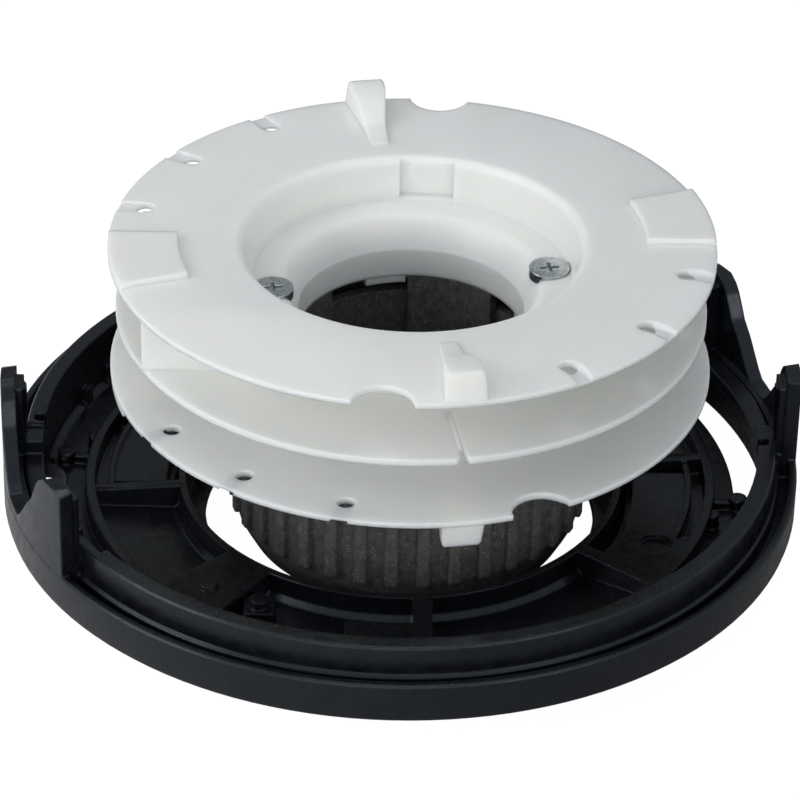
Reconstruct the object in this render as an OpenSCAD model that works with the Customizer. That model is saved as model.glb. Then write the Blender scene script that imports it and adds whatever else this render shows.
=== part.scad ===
// String reel of a line trimmer head: a double groove spool with its knob, standing in a cover ring

/* [Cover ring] */
// Radius of the ring over its lip
ring_r = 67.1; // [66:0.1:70]
// Radius of the hole in the ring's foot
hole_r = 33.1; // [32.8:0.1:34]
// Inner radius of the wall round the hole
hole_wall_r = 36.4; // [35.8:0.1:37]
// Thickness of the wall round the hole
hole_wall_t = 1.2; // [1:0.1:1.6]
// Height of the ribs and of the wall round the hole
rib_top = 9.1; // [8:0.1:10]
// Thickness of the foot under the wall round the hole
foot_t = 1.6; // [1.2:0.1:2.5]
// Height of the floor beside the wall round the hole
floor_z = 4.75; // [4.2:0.05:5.2]
// Height of the lip's lower edge
lip_low = 5.6; // [4.8:0.1:5.8]
// Height of the lip's top
lip_top = 12.9; // [12:0.1:13.2]
// Width of the lip's top
lip_w = 1.3; // [1:0.1:1.6]
// Width of the groove behind the lip
groove_w = 1.8; // [1.2:0.1:2]
// Depth of the groove behind the lip
groove_d = 3.4; // [2:0.1:4]
// Height of the rim
rim_top = 17.5; // [16.8:0.1:18]
// Width of the rim's top
rim_w = 2.9; // [2.5:0.1:3.1]
// Height of the rim between the two posts of an eyelet
rim_low = 14.2; // [13.6:0.1:15]
// Inner radius of the round rib on the floor
round_rib_r = 51.8; // [51:0.1:52.5]
// Thickness of the round rib
round_rib_t = 1.6; // [1.2:0.1:2]
// Thickness of the straight ribs
rib_t = 1.9; // [1.4:0.1:2.4]
// Radius of the floor pins
pin_r = 1.5; // [1:0.1:2]

/* [Eyelets of the ring] */
// Direction of the first eyelet
eyelet_turn = 17.9; // [10:0.1:22]
// Half of the angle that an eyelet's two posts span
eyelet_half = 18.1; // [17.5:0.1:19]
// Height of the posts
post_top = 29; // [27:0.1:30]
// Height of the posts at their outer ends
post_end_top = 28.2; // [26:0.1:28.5]
// Thickness of the posts
post_t = 3.7; // [3.5:0.1:4.4]
// Thickness of the wall between the posts
eyelet_wall_t = 2.5; // [2:0.1:3]

/* [Spool] */
// Distance of the reel's axis from the ring's axis
reel_shift = 1.3; // [0:0.1:1.5]
// Turn of the reel at rest
reel_turn = -79.8; // [-180:0.1:180]
// Radius of the top and bottom flanges
flange_r = 50; // [46:0.1:51]
// Radius of the middle flange
middle_r = 48.9; // [45:0.1:50]
// Thickness of each flange
flange_t = 1.2; // [1:0.1:1.6]
// Width of each line groove
groove_h = 10; // [8:0.1:12]
// Radius of the core that the line winds on
core_r = 30; // [29.5:0.1:33]
// Wall of the core under the ledge
core_t = 2.6; // [2:0.1:2.9]
// Radius of the funnel at the ledge
funnel_r = 27; // [26.9:0.05:27.4]
// Depth of the ledge below the top flange
ledge_d = 7.2; // [6.5:0.1:8]
// Thickness of the ledge
ledge_t = 4.5; // [4.2:0.1:5]
// Radius of the bore
bore_r = 18.7; // [18:0.05:18.8]
// Length of the bore's straight wall
bore_l = 5.1; // [4:0.1:6]
// Wall of the bore's collar
collar_t = 1.3; // [1:0.05:1.35]
// Radius of the rounding at the ledge's inner edge
ledge_round = 2.5; // [1.5:0.1:3]
// Height of the lugs on the flanges
lug_h = 4.3; // [3:0.1:5]
// Width of the lugs on the flanges
lug_w = 6.9; // [5:0.1:8]
// Radius of the round notches in the flanges
notch_r = 5; // [4:0.1:5.5]
// Distance of the line holes from the flanges' rim
line_in = 4.6; // [4:0.1:6]
// Radius of the line holes in the flanges
line_hole_r = 1.5; // [1.2:0.1:1.8]
// Height of the raised pads on the flanges
pad_h = 1; // [0.4:0.1:1.5]
// Width of the slots in the middle flange
slot_w = 1; // [0.6:0.1:2]

/* [Knob and screws] */
// Height of the knob under the bottom flange
knob_h = 30.8; // [28:0.1:34]
// Radius of the knob between its ribs
knob_r = 29.2; // [28.6:0.1:29.8]
// Wall of the knob
knob_t = 2.4; // [2:0.1:2.8]
// Thickness of the knob's floor
knob_floor = 3.2; // [2.5:0.1:4]
// Height of the slope round the knob's lower edge
slope_h = 4.6; // [3:0.1:6]
// Width of the slope round the knob's lower edge
slope_w = 2.1; // [1.2:0.1:3]
// Number of ribs round the knob
rib_n = 36; // [20:1:40]
// Width of each rib
knob_rib_w = 2.2; // [1.6:0.1:3]
// Distance that each rib stands out
knob_rib_h = 1.2; // [0.6:0.05:1.4]
// Height of the ribs' lower ends
knob_rib_z = 6.1; // [6:0.1:9]
// Wall of the sleeve inside the knob
sleeve_t = 2; // [1.5:0.1:2.2]
// Angle that each drive dog spans
dog_angle = 47; // [40:1:54]
// Depth of the gaps between the dogs
dog_d = 1.8; // [1.2:0.1:2.4]
// Distance between the two screws
screw_pitch = 46.3; // [46:0.1:46.6]
// Radius of the screws' thread
screw_r = 2; // [1.5:0.1:2.1]
// Radius of the screws' heads
screw_head_r = 3.4; // [3:0.1:3.5]
// Length of the screws below their heads
screw_l = 13; // [11:0.5:16]
// Gap all round where one piece stands in another
gap = 0.25; // [0.15:0.05:0.3]

/* [Hidden] */
$fn = 120;
eps = 0.01;
// The ring's sizes that follow from the others
foot_r = hole_wall_r + 0.4;
floor_r = hole_wall_r + hole_wall_t;
floor_low = 3;
floor_outer = 5;
lip_round = 1.5;
groove_r = ring_r - lip_w;
wall_r = groove_r - groove_w;
rim_r = wall_r - 0.8;
rim_in = rim_r - rim_w;
floor_rim_z = floor_z + 2;
window_in = rim_in - 3.5;
window_out = rim_r - 1;
window_top = rim_low - 2.2;
post_a = 4.6;
eyelet_r = ring_r - 0.05;
eyelet_low = lip_low + lip_round;
post_in = ring_r - post_t;
// Heights of the reel, from the table up
flange_low = knob_h;
groove_low = flange_low + flange_t;
middle_low = groove_low + groove_h;
groove_high = middle_low + flange_t;
flange_high = groove_high + groove_h;
reel_top = flange_high + flange_t;
ledge_z = reel_top - ledge_d;
ledge_under = ledge_z - ledge_t;
bore_top = ledge_under - 0.9;
bore_low = bore_top - bore_l;
collar_r = bore_r + collar_t;
mouth_round = 1.5;
pad_in = core_r + 8.5;
web_off = 23.9;
web_turn = 79.8;
// The knob's inside
dog_r = bore_r + gap;
dog_back = bore_r + dog_d;
sleeve_r = dog_back + sleeve_t;
sleeve_top = flange_low + 2;
dog_top = bore_low - gap;
dog_mid = 58.3;
key_h = 1.5;
boss_r = screw_pitch / 2 - collar_r - gap;
head_sink = 1.4;
head_h = 1.6;
knob_rib_top = knob_h - 2.4;

// A flat ring sector, from angle a1 to angle a2
module sector(r1, r2, a1, a2, h) {
    rotate([0, 0, a1])
        rotate_extrude(angle = a2 - a1)
            translate([r1, 0])
                square([r2 - r1, h]);
}

// A shape and its twin on the other side of the axis
module twice() {
    children();
    rotate([0, 0, 180])
        children();
}

// Section of the ring from its hole to its lip, open side up
module ring_section() {
    steps = 5;
    dome_end = ring_r - lip_round;
    dome = [for (k = [1:steps]) let (u = k / steps)
        [foot_r + u * (dome_end - foot_r), lip_low * pow(u, 1.3)]];
    lip = [for (a = [30:30:90])
        [dome_end + lip_round * sin(a), lip_low + lip_round * (1 - cos(a))]];
    polygon(concat(
        [[hole_r, 0], [foot_r, 0]],
        dome,
        lip,
        [[ring_r, lip_top - 0.3], [ring_r - 0.3, lip_top], [groove_r, lip_top],
         [groove_r, lip_top - groove_d], [wall_r, lip_top - groove_d],
         [wall_r, rim_top - 5.4], [wall_r - 0.5, rim_top - 5],
         [rim_r, rim_top - 0.3], [rim_r - 0.3, rim_top], [rim_in, rim_top],
         [rim_in, floor_rim_z + 1], [rim_in - 1, floor_rim_z],
         [floor_r + 1, floor_z], [floor_r, floor_z + 1],
         [floor_r, rib_top], [hole_wall_r, rib_top],
         [hole_wall_r, foot_t], [hole_r, foot_t]]));
}

// Outline of one eyelet's wall, seen from outside: two posts with a round valley between them
module eyelet_outline() {
    half = ring_r * sin(eyelet_half);
    low = eyelet_low;
    peak = post_top;
    right = [[3, rim_low + 0.2], [4.6, rim_low + 1.4], [6.4, rim_low + 3.4],
        [8.4, rim_low + 5.8], [10.6, rim_low + 8], [12, rim_low + 10.6], [13, peak - 2.4],
        [14.1, peak - 1.1], [15.7, peak], [half - 1.6, peak], [half, post_end_top],
        [half + 1, post_end_top - 0.6]];
    left = [for (k = [len(right) - 1:-1:0]) [-right[k][0], right[k][1]]];
    polygon(concat([[half + 1, low], [-half - 1, low]], left, [[0, rim_low]], right));
}

// A piece of an eyelet, cut to the eyelet's outline
module in_outline() {
    intersection() {
        rotate([90, 0, 90])
            linear_extrude(height = ring_r + 1)
                eyelet_outline();
        children();
    }
}

// Wall of an eyelet, which lets a line out of the head between two posts
module eyelet_wall() {
    rotate([0, 0, eyelet_turn])
        in_outline()
            sector(ring_r - eyelet_wall_t, eyelet_r, -eyelet_half, eyelet_half, post_top + 1);
}

// The thicker post at one end of an eyelet, side = -1 or 1
module eyelet_post(side) {
    a1 = side < 0 ? 0.2 - eyelet_half : eyelet_half - post_a;
    rotate([0, 0, eyelet_turn])
        in_outline()
            sector(post_in, eyelet_r - 0.4, a1, a1 + post_a - 0.2, post_top - 2);
}

// Round bulge on a post's inner face
module eyelet_bulge(side) {
    rotate([0, 0, eyelet_turn])
        in_outline()
            rotate([0, 0, side * (eyelet_half - post_a / 2)])
                translate([post_in + 1.4, 0, eyelet_low])
                    cylinder(r = 2, h = post_top - 2.7 - eyelet_low, $fn = 48);
}

// Filling of the lip's groove along an eyelet
module eyelet_fill() {
    rotate([0, 0, eyelet_turn])
        translate([0, 0, eyelet_low])
            sector(wall_r - 0.2, eyelet_r - 0.6, 0.1 - eyelet_half, eyelet_half - 0.1,
                rim_low - 0.15 - eyelet_low);
}

// Opening in the floor beside an eyelet, which runs up behind the eyelet's wall
module window() {
    end_r = (window_out - window_in) / 2;
    rotate([0, 0, eyelet_turn]) {
        sector(window_in, window_out, -eyelet_half - 0.2, eyelet_half - 1.2, window_top);
        rotate([0, 0, -eyelet_half - 0.2])
            translate([window_in + end_r, 0, 0])
                cylinder(r = end_r, h = window_top, $fn = 48);
    }
}

// Raised pad on the floor, cut to the space between two radii
module pad(r1, r2, top) {
    intersection() {
        difference() {
            cylinder(r = r2, h = top);
            translate([0, 0, -1])
                cylinder(r = r1, h = top + 2);
        }
        linear_extrude(height = top)
            children();
    }
}

// Ribs, pads and pins of one half of the ring's floor
module floor_half() {
    reach = round_rib_r + 0.2;
    // straight rib from the wall round the hole to the round rib
    rotate([0, 0, 187.5])
        translate([floor_r - 0.3, -rib_t / 2, floor_low])
            cube([reach - floor_r, rib_t, rib_top - floor_low]);
    // pad across the whole floor, with a pin at its edge
    translate([0, 0, floor_low])
        sector(floor_r - 0.3, reach, 222, 236, rib_top - floor_low);
    // front pad, joined to the wall by a short bridge
    translate([0, 0, floor_low])
        pad(floor_r + 7.4, reach, rib_top - floor_low)
            translate([-8.4, -reach])
                square([14.1, reach]);
    translate([2.5, -floor_r - 8, floor_low])
        cube([3.2, 8.3, rib_top - floor_low]);
    // wide pad with a round sunk mark
    translate([0, 0, floor_low])
        difference() {
            sector(floor_r + 3.4, reach, 322, 338, rib_top - floor_low);
            rotate([0, 0, 334.5])
                translate([47.1, 0, rib_top - floor_low - 0.8])
                    cylinder(r = 2.7, h = 2);
        }
    translate([0, 0, floor_low])
        sector(floor_r - 0.3, floor_r + 3.6, 322.1, 325.5, rib_top - floor_low);
    // lower pad beside it
    translate([0, 0, floor_low])
        pad(floor_r + 2, reach - 2.4, rib_top - 1.2 - floor_low)
            translate([floor_r, -17.5])
                square([11.4, 20.5]);
    // thin arc rib inside the round rib
    translate([0, 0, floor_low])
        sector(round_rib_r - 3.3, round_rib_r - 2.3, 150, 187, rib_top - 0.5 - floor_low);
    // block under the second pin
    translate([-24.9, -41.9, floor_outer])
        cube([5, 5, rib_top - 0.8 - floor_outer]);
    // pins
    for (p = [[-30.8, -35.4], [-22.4, -39.4], [48, -18.6], [52.3, -10.2], [57.2, -5.2]])
        translate([p[0], p[1], floor_outer])
            cylinder(r = pin_r, h = rib_top + (p[0] < 0 ? 0.6 : -0.6) - floor_outer, $fn = 48);
    // web from the outermost pin to the round rib
    translate([round_rib_r, -5.8, floor_outer])
        cube([5, 1.2, rib_top - 1.4 - floor_outer]);
    // tab on the rim's inner face
    rotate([0, 0, 208])
        translate([rim_in - 4, -1.8, floor_outer])
            cube([4.2, 3.6, rib_top - floor_outer]);
    // small ledges on the rim's inner face
    for (a = [149, 157])
        rotate([0, 0, a])
            translate([rim_in - 1.2, -1, floor_outer])
                cube([1.4, 2, rib_top + 1 - floor_outer]);
}

module cover_ring() {
    color([0.13, 0.14, 0.16])
        difference() {
            union() {
                rotate_extrude()
                    ring_section();
                translate([0, 0, floor_low])
                    difference() {
                        cylinder(r = round_rib_r + round_rib_t, h = rib_top - floor_low);
                        translate([0, 0, -1])
                            cylinder(r = round_rib_r, h = rib_top);
                    }
                twice()
                    floor_half();
                twice()
                    eyelet_wall();
                twice()
                    eyelet_post(-1);
                twice()
                    eyelet_post(1);
                twice()
                    eyelet_fill();
                twice()
                    eyelet_bulge(-1);
                twice()
                    eyelet_bulge(1);
            }
            twice()
                window();
            // the rim is lower between the posts, with a step and a round notch beside it
            twice()
                rotate([0, 0, eyelet_turn]) {
                    translate([0, 0, rim_low])
                        sector(rim_in - 1, wall_r + 0.3, post_a - eyelet_half,
                            eyelet_half - post_a, post_top);
                    translate([0, 0, rim_top - 0.8])
                        sector(rim_in - 1, post_in - 0.3, -eyelet_half,
                            post_a - eyelet_half + 0.5, 4);
                    translate([0, 0, rim_top - 1.5])
                        sector(rim_in - 1, rim_in + 1.4, eyelet_half - post_a + 0.3,
                            eyelet_half + 2.8, 4);
                    rotate([0, 0, -eyelet_half - 1.3])
                        translate([rim_in + 0.7, 0, rim_low])
                            cylinder(r = 1.2, h = 5, $fn = 48);
                }
        }
}

// One end flange, outer face up, on z = 0, with a lug along +X and -X
module end_flange() {
    top = flange_t;
    difference() {
        union() {
            rotate_extrude()
                polygon([[0, 0], [flange_r, 0], [flange_r, top - 0.3], [flange_r - 2, top],
                    [0, top]]);
            twice()
                lug(top);
            twice()
                translate([0, 0, top - 0.5])
                    sector(pad_in, flange_r - 0.1, 80.3, 100.3, pad_h + 0.5);
        }
        // round notches for the line
        twice()
            rotate([0, 0, -15])
                translate([flange_r + 0.3, 0, -1])
                    cylinder(r = notch_r, h = flange_t + 2);
        // line holes, each with a slot out to the rim
        twice()
            for (a = [22.6, 45.3, 68])
                rotate([0, 0, a])
                    line_slot();
    }
}

// Hole through a flange, with a slot in the outer face that leaves a thin bridge at the rim
module line_slot() {
    w = line_hole_r - 0.2;
    floor_z = 0.45;
    rise = flange_t + 1 - floor_z;
    translate([flange_r - line_in, 0, -1])
        cylinder(r = line_hole_r, h = flange_t + 2, $fn = 48);
    translate([flange_r - line_in, 0, 0])
        rotate([90, 0, 90])
            linear_extrude(height = line_in + 2)
                polygon([[-w, floor_z], [w, floor_z], [w + 0.9 * rise, flange_t + 1],
                    [-w, flange_t + 1]]);
}

// Lug on a flange: a rib that rises and widens outwards, with a rounded sloping end
module lug(base) {
    w = lug_w / 2;
    low = base - 0.7;
    top = base + lug_h;
    inner = funnel_r + 6;
    intersection() {
        // outline from above
        translate([0, 0, low])
            linear_extrude(height = lug_h + 0.7)
                polygon([[inner, 1.95 - w], [inner + 6, 1.55 - w], [inner + 11, 0.7 - w],
                    [flange_r + 0.5, -w - 0.15], [flange_r + 0.5, w + 0.15],
                    [inner + 11, w - 0.7], [inner + 6, w - 1.55], [inner, w - 1.95]]);
        // outline from the side
        rotate([90, 0, 0])
            linear_extrude(height = lug_w + 2, center = true)
                polygon([[inner - 1, low], [inner - 1, base + 0.3], [inner + 5, base + 0.9],
                    [flange_r - 6.5, top - 0.6], [flange_r - 4.5, top], [flange_r + 1, top],
                    [flange_r + 1, low]]);
        // outline from the end
        rotate([90, 0, 90])
            linear_extrude(height = flange_r + 2)
                polygon([[-w, low], [w, low], [w - 0.35, top - 0.5], [w - 0.8, top + 0.1],
                    [0.8 - w, top + 0.1], [0.35 - w, top - 0.5]]);
        // sloping end
        translate([0, 0, low - 0.1])
            cylinder(r1 = flange_r - 0.15, r2 = flange_r - 1.4, h = lug_h + 1);
    }
}

// Solid of the spool's core before its bore is cut
module core_body() {
    translate([0, 0, flange_low])
        cylinder(r = core_r, h = reel_top - flange_low);
    translate([0, 0, middle_low])
        difference() {
            cylinder(r = middle_r, h = flange_t);
            twice()
                translate([0, 0, -1])
                    linear_extrude(height = flange_t + 2)
                        slot_outline();
        }
}

// Outline of a slot in the middle flange, with a mouth that widens at the rim
module slot_outline() {
    w = slot_w / 2;
    polygon([[core_r + 3.8, -w], [middle_r - 1.2, -w], [middle_r - 0.4, -w - 0.25],
        [middle_r + 0.1, -w - 0.8], [middle_r + 1, -w - 0.8], [middle_r + 1, w + 0.8],
        [middle_r + 0.1, w + 0.8], [middle_r - 0.4, w + 0.25], [middle_r - 1.2, w],
        [core_r + 3.8, w]]);
}

// Section of the funnel, ledge and bore that is cut out of the core from above
module funnel_section() {
    mouth = [for (a = [90:-15:0])
        [funnel_r + 0.9 + mouth_round * (1 - sin(a)), reel_top - mouth_round * (1 - cos(a))]];
    round_x = bore_r + 1.9 + ledge_round * cos(23);
    edge = [for (a = [157:-67/5:90])
        [round_x + ledge_round * cos(a), ledge_z - ledge_round + ledge_round * sin(a)]];
    polygon(concat(
        [[0, bore_low - 1], [bore_r, bore_low - 1], [bore_r, bore_top]],
        edge,
        [[funnel_r - 0.6, ledge_z], [funnel_r, ledge_z + 0.6]],
        mouth,
        [[funnel_r + 0.9 + mouth_round, reel_top + 1], [0, reel_top + 1]]));
}

// Straight web in the upper groove that guides the line to its notch
module line_web() {
    reach = sqrt(pow(flange_r - 0.7, 2) - pow(web_off, 2));
    root = sqrt(pow(core_r, 2) - pow(web_off, 2)) - 0.6;
    rotate([0, 0, web_turn])
        translate([-reach, -web_off, groove_high - 0.1])
            cube([reach - root, 1.4, groove_h + 0.2]);
}

module spool() {
    color([0.84, 0.86, 0.85])
        on_reel() {
            difference() {
                union() {
                    core_body();
                    translate([0, 0, flange_high])
                        end_flange();
                    translate([0, 0, groove_low])
                        rotate([180, 0, 0])
                            end_flange();
                    twice()
                        line_web();
                }
                rotate_extrude()
                    funnel_section();
                // hollow under the ledge, open at the bottom
                translate([0, 0, flange_low - 1])
                    difference() {
                        cylinder(r = core_r - core_t, h = ledge_under - flange_low + 1);
                        translate([0, 0, bore_low - flange_low + 1])
                            cylinder(r = collar_r, h = ledge_t + 20);
                    }
                // recesses in the funnel's wall, in line with the round notches
                twice()
                    rotate([0, 0, -15])
                        translate([funnel_r - 2, -4.6, ledge_z + 0.2])
                            cube([3, 9.2, ledge_d]);
                // holes for the screws
                for (side = [-1, 1])
                    translate([0, side * screw_pitch / 2, 0]) {
                        translate([0, 0, ledge_z - head_sink])
                            cylinder(r = screw_head_r + 0.3, h = head_sink + 1);
                        translate([0, 0, flange_low - 1])
                            cylinder(r = screw_r + gap, h = ledge_z - flange_low + 2);
                        translate([0, 0, flange_low - 1])
                            cylinder(r = boss_r + gap, h = ledge_under - flange_low + 1);
                    }
            }
            // short keys under the bore's lip, each in a gap between two dogs
            for (k = [0:3])
                translate([0, 0, bore_low - key_h])
                    sector(bore_r + gap, collar_r - 0.1, dog_mid + dog_angle / 2 + 1.2 + 90 * k,
                        dog_mid + 90 - dog_angle / 2 - 21 + 90 * k, key_h + 0.5);
        }
}

// Section of the knob's solid outside, before its inside is cut
module knob_section() {
    foot = knob_r - slope_w;
    polygon([[0, 0], [foot - 0.6, 0], [foot, 0.2], [foot + 0.64 * slope_w, 0.58 * slope_h],
        [foot + 0.9 * slope_w, 0.82 * slope_h], [knob_r, slope_h], [knob_r, knob_h],
        [0, knob_h]]);
}

// Outline of one of the knob's ribs
module knob_rib() {
    w = knob_rib_w / 2;
    top = knob_r + knob_rib_h;
    polygon([[knob_r - 0.6, -w], [top - 0.25, -w], [top, 0.35 - w], [top, w - 0.35],
        [top - 0.25, w], [knob_r - 0.6, w]]);
}

module knob() {
    color([0.19, 0.2, 0.2])
        on_reel() {
            difference() {
                union() {
                    rotate_extrude()
                        knob_section();
                    for (k = [0:rib_n - 1])
                        rotate([0, 0, k * 360 / rib_n + 5.3])
                            translate([0, 0, knob_rib_z])
                                linear_extrude(height = knob_rib_top - knob_rib_z)
                                    knob_rib();
                }
                difference() {
                    translate([0, 0, knob_floor])
                        cylinder(r = knob_r - knob_t, h = knob_h);
                    cylinder(r = sleeve_r, h = knob_h + 1);
                    bosses(knob_h + 1);
                }
                translate([0, 0, knob_floor])
                    cylinder(r = dog_back, h = knob_h);
                pilots();
            }
            // sleeve and bosses above the rim
            difference() {
                union() {
                    translate([0, 0, knob_h - eps])
                        cylinder(r = sleeve_r, h = sleeve_top - knob_h + eps);
                    intersection() {
                        bosses(ledge_under);
                        translate([0, 0, knob_h - eps])
                            cylinder(r = core_r, h = ledge_under);
                    }
                }
                translate([0, 0, knob_h - 1])
                    cylinder(r = dog_back, h = 20);
                pilots();
            }
            // drive dogs, flush with the spool's bore
            for (k = [0:3])
                translate([0, 0, knob_floor - eps])
                    sector(dog_r, dog_back + eps, dog_mid - dog_angle / 2 + 90 * k,
                        dog_mid + dog_angle / 2 + 90 * k, dog_top - knob_floor + eps);
        }
}

// Holes that the screws' threads cut into
module pilots() {
    for (side = [-1, 1])
        translate([0, side * screw_pitch / 2, ledge_z - head_sink - screw_l - 1])
            cylinder(r = screw_r + 0.05, h = screw_l + 10, $fn = 48);
}

// Bosses that the screws go into, up to the height top
module bosses(top) {
    for (side = [-1, 1])
        translate([0, side * screw_pitch / 2, 0])
            cylinder(r = boss_r, h = top);
}

module knob_screws() {
    color([0.72, 0.76, 0.78])
        on_reel()
            for (side = [-1, 1])
                translate([0, side * screw_pitch / 2, ledge_z - head_sink])
                    screw();
}

module screw() {
    difference() {
        union() {
            cylinder(r = screw_head_r, h = head_h, $fn = 48);
            translate([0, 0, -screw_l])
                cylinder(r = screw_r, h = screw_l + 0.1, $fn = 48);
        }
        for (a = [0, 90])
            rotate([0, 0, a])
                translate([-1.7, -0.35, head_h - 1.1])
                    cube([3.4, 0.7, 2]);
    }
}

// Places a piece of the reel where the reel stands
module on_reel() {
    translate([reel_shift, 0, 0])
        rotate([0, 0, reel_turn])
            children();
}

cover_ring();
spool();
knob();
knob_screws();
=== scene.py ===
"""String reel of a line trimmer head: a white spool on its ribbed knob, standing in a black ring.

Lengths are in metres. The four CAD nodes keep their shapes and get materials alone.
"""
import math

import bpy
import numpy as np
from mathutils import Matrix, Vector


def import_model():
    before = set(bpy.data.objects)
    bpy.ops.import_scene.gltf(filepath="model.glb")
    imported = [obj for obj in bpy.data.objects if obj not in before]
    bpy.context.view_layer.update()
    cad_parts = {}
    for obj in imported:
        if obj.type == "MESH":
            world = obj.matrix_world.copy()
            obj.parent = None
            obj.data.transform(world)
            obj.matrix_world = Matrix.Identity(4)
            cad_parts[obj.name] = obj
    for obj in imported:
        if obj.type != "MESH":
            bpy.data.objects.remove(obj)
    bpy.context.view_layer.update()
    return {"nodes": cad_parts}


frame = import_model()
nodes = frame["nodes"]

# edges: weld distance, angle past which an edge stays sharp, shading radius of each material
WELD = 2e-6
SHARP_DEG = 24
MOULDED_EDGE = 0.0006
KNOB_EDGE = 0.0005
SCREW_EDGE = 0.0003

# floor: radius, drop below the part, points round it, share and strength of the white seen
FLOOR_R = 6.0
FLOOR_DROP = 0.00005
FLOOR_POINTS = 64
WHITE_SHARE = 0.86
WHITE_GLOW = 1.15

# camera: place, point looked at, roll, then lens and sensor in millimetres
CAMERA_PLACE = (-0.0002, -0.5768, 0.3872)
CAMERA_AIM = (-0.00025, 0.0, 0.02336)
CAMERA_ROLL_DEG = 1.148
CAMERA_LENS = 182.4
CAMERA_SENSOR = 36.0

# light: the point that most lamps face, and two lamp colours
LAMP_AIM = (0, 0, 0.03)
PLAIN = (1, 1, 1)
WARM = (1.0, 0.985, 0.96)


# ---------------------------------------------------------------- material helpers

class Nodes:
    """A small writer for a material's node tree."""

    def __init__(self, name):
        self.material = bpy.data.materials.new(name)
        self.material.use_nodes = True
        self.tree = self.material.node_tree
        self.shader = self.tree.nodes["Principled BSDF"]
        self.output = self.tree.nodes["Material Output"]
        self.place = self.add("ShaderNodeTexCoord").outputs["Object"]

    def add(self, kind, **settings):
        node = self.tree.nodes.new(kind)
        for name, value in settings.items():
            if isinstance(value, bpy.types.NodeSocket):
                self.tree.links.new(value, node.inputs[name])
            elif name in node.inputs:
                node.inputs[name].default_value = value
            else:
                setattr(node, name, value)
        return node

    def link(self, a, b):
        self.tree.links.new(a, b)

    def set(self, **values):
        for name, value in values.items():
            self.shader.inputs[name.replace("_", " ")].default_value = value

    def scaled(self, x, y, z):
        """Object coordinates stretched by x, y and z."""
        return self.add("ShaderNodeMapping", Vector=self.place, Scale=(x, y, z)).outputs["Vector"]

    def noise(self, scale, detail=3.0, rough=0.5, vector=None):
        return self.add("ShaderNodeTexNoise", Vector=vector or self.place, Scale=scale,
                        Detail=detail, Roughness=rough).outputs["Fac"]

    def ramp(self, value, *stops):
        """A colour ramp: stops are (position, colour) pairs."""
        node = self.add("ShaderNodeValToRGB", Fac=value)
        elements = node.color_ramp.elements
        while len(elements) < len(stops):
            elements.new(0.5)
        for element, (position, colour) in zip(elements, stops):
            element.position = position
            element.color = (*colour, 1.0) if len(colour) == 3 else colour
        return node.outputs["Color"]

    def remap(self, value, low, high, to_low, to_high):
        return self.add("ShaderNodeMapRange", Value=value, **{
            "From Min": low, "From Max": high, "To Min": to_low, "To Max": to_high,
        }).outputs["Result"]

    def bump(self, height, distance, strength=1.0, normal=None):
        node = self.add("ShaderNodeBump", Height=height, Distance=distance, Strength=strength)
        if normal is not None:
            self.link(normal, node.inputs["Normal"])
        return node.outputs["Normal"]

    def bevel(self, radius):
        return self.add("ShaderNodeBevel", Radius=radius, samples=6).outputs["Normal"]


def spool_nylon():
    """Natural white nylon: light soaks in, faintly clouded, with flow marks and a fine skin."""
    m = Nodes("spool_nylon")
    cloud = m.noise(34.0, 4.0, 0.55)
    m.link(m.ramp(cloud, (0.3, (0.80, 0.81, 0.785)), (0.7, (0.875, 0.875, 0.85))),
           m.shader.inputs["Base Color"])
    m.link(m.remap(m.noise(160.0, 3.0), 0.3, 0.7, 0.30, 0.44), m.shader.inputs["Roughness"])
    flow = m.noise(1.0, 3.0, 0.5, m.scaled(90.0, 90.0, 260.0))
    first = m.bump(flow, 0.0002, 0.25, m.bevel(MOULDED_EDGE))
    m.link(m.bump(m.noise(900.0, 2.0), 0.00002, 0.5, first), m.shader.inputs["Normal"])
    m.set(Subsurface_Weight=1.0, Subsurface_Scale=0.0025, IOR=1.46)
    m.shader.inputs["Subsurface Radius"].default_value = (1.0, 0.95, 0.8)
    return m.material


def ring_nylon():
    """Glass filled nylon, near black and satin, faintly mottled, with fine drag marks."""
    m = Nodes("ring_nylon")
    mottle = m.noise(260.0, 5.0, 0.6)
    m.link(m.ramp(mottle, (0.25, (0.0025, 0.003, 0.0045)), (0.75, (0.006, 0.0068, 0.0095))),
           m.shader.inputs["Base Color"])
    m.link(m.remap(m.noise(420.0, 4.0), 0.3, 0.7, 0.20, 0.36), m.shader.inputs["Roughness"])
    drag = m.noise(1.0, 4.0, 0.6, m.scaled(900.0, 900.0, 14.0))
    grain = m.noise(1500.0, 2.0)
    first = m.bump(drag, 0.00004, 0.35, m.bevel(MOULDED_EDGE))
    m.link(m.bump(grain, 0.00003, 0.3, first), m.shader.inputs["Normal"])
    m.set(IOR=1.5, Specular_IOR_Level=0.5)
    m.shader.inputs["Specular Tint"].default_value = (0.82, 0.90, 1.0, 1.0)
    return m.material


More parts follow.
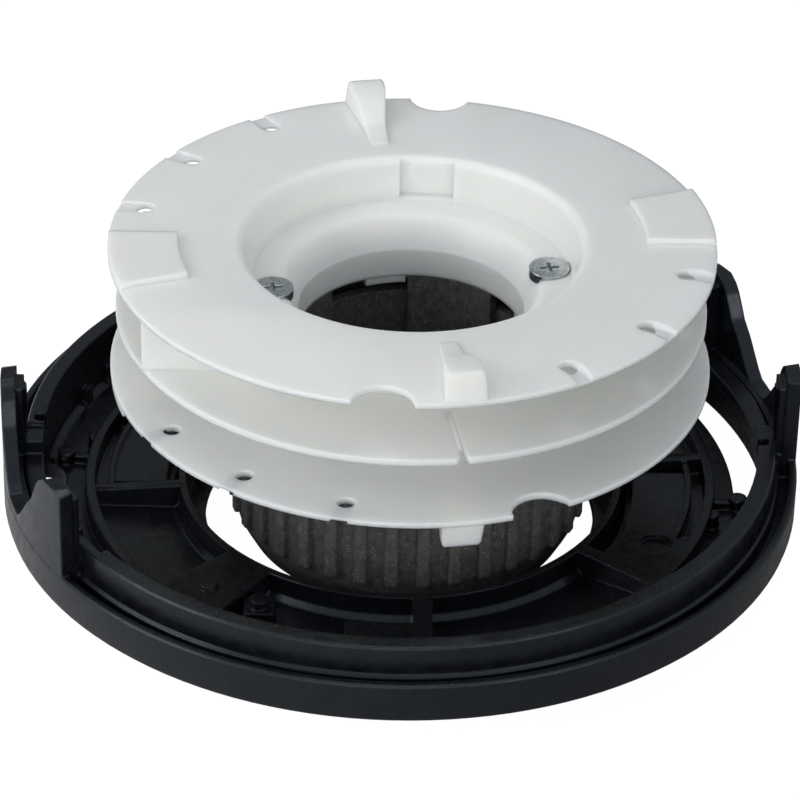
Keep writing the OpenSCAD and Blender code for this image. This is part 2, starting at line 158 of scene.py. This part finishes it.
def knob_nylon():
    """Dark grey nylon full of fine light specks of glass."""
    m = Nodes("knob_nylon")
    cells = m.add("ShaderNodeTexVoronoi", Vector=m.place, Scale=2400.0, Randomness=1.0)
    speck = m.ramp(cells.outputs["Distance"], (0.0, (1, 1, 1)), (0.38, (0, 0, 0)))
    pick = m.add("ShaderNodeSeparateColor", Color=cells.outputs["Color"]).outputs["Red"]
    chosen = m.ramp(pick, (0.72, (0, 0, 0)), (0.9, (1, 1, 1)))
    mask = m.add("ShaderNodeMath", operation="MULTIPLY")
    m.link(speck, mask.inputs[0])
    m.link(chosen, mask.inputs[1])
    base = m.ramp(m.noise(700.0, 4.0, 0.65),
                  (0.3, (0.047, 0.049, 0.0465)), (0.72, (0.108, 0.111, 0.104)))
    mix = m.add("ShaderNodeMix", data_type="RGBA")
    m.link(mask.outputs["Value"], mix.inputs["Factor"])
    m.link(base, mix.inputs[6])
    mix.inputs[7].default_value = (0.42, 0.43, 0.41, 1.0)
    m.link(mix.outputs[2], m.shader.inputs["Base Color"])
    m.link(m.bump(m.noise(700.0, 3.0), 0.00008, 0.6, m.bevel(KNOB_EDGE)),
           m.shader.inputs["Normal"])
    m.set(Roughness=0.6, IOR=1.5)
    return m.material


def screw_zinc():
    """Zinc plated steel with fine turning marks and a slightly uneven plating."""
    m = Nodes("screw_zinc")
    m.link(m.ramp(m.noise(900.0, 3.0), (0.3, (0.50, 0.54, 0.56)), (0.7, (0.72, 0.76, 0.78))),
           m.shader.inputs["Base Color"])
    m.link(m.remap(m.noise(1600.0, 2.0), 0.3, 0.7, 0.22, 0.38), m.shader.inputs["Roughness"])
    m.link(m.bump(m.noise(2500.0, 2.0), 0.00002, 0.4, m.bevel(SCREW_EDGE)),
           m.shader.inputs["Normal"])
    m.set(Metallic=1.0)
    return m.material


def dress(node, material):
    """Gives a CAD node its material, and smooths its shading up to its real edges."""
    thing = nodes[node]
    thing.data.materials.clear()
    thing.data.materials.append(material)
    thing.data.polygons.foreach_set("use_smooth", [True] * len(thing.data.polygons))
    weld = thing.modifiers.new("weld", "WELD")
    weld.merge_threshold = WELD
    split = thing.modifiers.new("split", "EDGE_SPLIT")
    split.split_angle = math.radians(SHARP_DEG)


dress("spool", spool_nylon())
dress("cover_ring", ring_nylon())
dress("knob", knob_nylon())
dress("knob_screws", screw_zinc())


# ---------------------------------------------------------------- floor, light, camera

def floor_material():
    """Plain white to the camera. To the light its colour is pale at the left and darker at the
    right: painted shade standing in for a floor lit more from the left, seen in the part's
    reflections.
    """
    m = Nodes("floor_white")
    along = m.add("ShaderNodeSeparateXYZ", Vector=m.place).outputs["X"]
    # painted shade: the floor colour runs from pale at the left to dark grey at the right, in place
    # of uneven light on it
    shade = m.remap(along, -0.14, 0.03, 0.0, 1.0)
    m.link(m.ramp(shade, (0.0, (0.95, 0.95, 0.95)), (1.0, (0.30, 0.30, 0.30))),
           m.shader.inputs["Base Color"])
    m.shader.inputs["Roughness"].default_value = 0.9
    glow = m.add("ShaderNodeEmission", Strength=WHITE_GLOW)
    path = m.add("ShaderNodeLightPath")
    seen = m.add("ShaderNodeMath", operation="MAXIMUM")
    m.link(path.outputs["Is Camera Ray"], seen.inputs[0])
    m.link(path.outputs["Is Transmission Ray"], seen.inputs[1])
    share = m.add("ShaderNodeMath", operation="MULTIPLY")
    m.link(seen.outputs[0], share.inputs[0])
    share.inputs[1].default_value = WHITE_SHARE
    mix = m.add("ShaderNodeMixShader")
    m.link(share.outputs[0], mix.inputs["Fac"])
    m.link(m.shader.outputs[0], mix.inputs[1])
    m.link(glow.outputs[0], mix.inputs[2])
    m.link(mix.outputs[0], m.output.inputs["Surface"])
    return m.material


def floor():
    """A flat disc just under the part."""
    turn = np.linspace(0, 2 * np.pi, FLOOR_POINTS, endpoint=False)
    height = np.zeros(FLOOR_POINTS) - FLOOR_DROP
    points = np.stack([FLOOR_R * np.cos(turn), FLOOR_R * np.sin(turn), height], 1)
    mesh = bpy.data.meshes.new("floor")
    mesh.from_pydata(points.tolist(), [], [list(range(FLOOR_POINTS))])
    mesh.materials.append(floor_material())
    thing = bpy.data.objects.new("floor", mesh)
    bpy.context.scene.collection.objects.link(thing)


def lamp(name, place, size, power, colour=PLAIN, aim=LAMP_AIM):
    """A soft rectangular lamp at place, facing aim."""
    data = bpy.data.lights.new(name, "AREA")
    data.shape = "RECTANGLE"
    data.size, data.size_y = size
    data.energy = power
    data.color = colour
    thing = bpy.data.objects.new(name, data)
    bpy.context.scene.collection.objects.link(thing)
    thing.location = place
    thing.rotation_euler = (Vector(aim) - Vector(place)).to_track_quat("-Z", "Y").to_euler()


def world():
    """A pale surround, darker behind the object, plain white to the camera."""
    w = bpy.data.worlds.new("surround")
    bpy.context.scene.world = w
    w.use_nodes = True
    tree = w.node_tree
    background = tree.nodes["Background"]
    background.inputs["Color"].default_value = (0.91, 0.96, 1.0, 1.0)
    place = tree.nodes.new("ShaderNodeTexCoord")
    split = tree.nodes.new("ShaderNodeSeparateXYZ")
    strength = tree.nodes.new("ShaderNodeMapRange")
    tree.links.new(place.outputs["Generated"], split.inputs["Vector"])
    tree.links.new(split.outputs["Y"], strength.inputs["Value"])
    for name, value in (("From Min", 0.25), ("From Max", 0.75), ("To Min", 0.50), ("To Max", 0.24)):
        strength.inputs[name].default_value = value
    tree.links.new(strength.outputs["Result"], background.inputs["Strength"])
    white = tree.nodes.new("ShaderNodeBackground")
    path = tree.nodes.new("ShaderNodeLightPath")
    mix = tree.nodes.new("ShaderNodeMixShader")
    tree.links.new(path.outputs["Is Camera Ray"], mix.inputs["Fac"])
    tree.links.new(background.outputs[0], mix.inputs[1])
    tree.links.new(white.outputs[0], mix.inputs[2])
    tree.links.new(mix.outputs[0], tree.nodes["World Output"].inputs["Surface"])


def camera():
    data = bpy.data.cameras.new("camera")
    data.lens = CAMERA_LENS
    data.sensor_width = CAMERA_SENSOR
    data.clip_start, data.clip_end = 0.05, 20.0
    thing = bpy.data.objects.new("camera", data)
    bpy.context.scene.collection.objects.link(thing)
    place = Vector(CAMERA_PLACE)
    look = (Vector(CAMERA_AIM) - place).to_track_quat("-Z", "Y")
    roll = Matrix.Rotation(math.radians(CAMERA_ROLL_DEG), 4, "Z")
    turned = look.to_matrix().to_4x4() @ roll
    turned.translation = place
    thing.matrix_world = turned
    bpy.context.scene.camera = thing


floor()
world()
lamp("key", (-0.55, 0.25, 0.9), (0.4, 0.4), 1.05, WARM)
lamp("fill", (0.55, -0.75, 0.3), (0.5, 0.3), 1.35)
lamp("front", (-0.12, -0.98, 0.25), (0.8, 0.25), 2.3)
lamp("left", (-0.6, -0.25, 0.35), (0.4, 0.3), 1.5, aim=(-0.03, -0.01, 0.02))
lamp("top", (0.0, 0.02, 1.0), (0.26, 0.26), 0.85, WARM)
camera()

scene = bpy.context.scene
scene.view_settings.view_transform = "Standard"
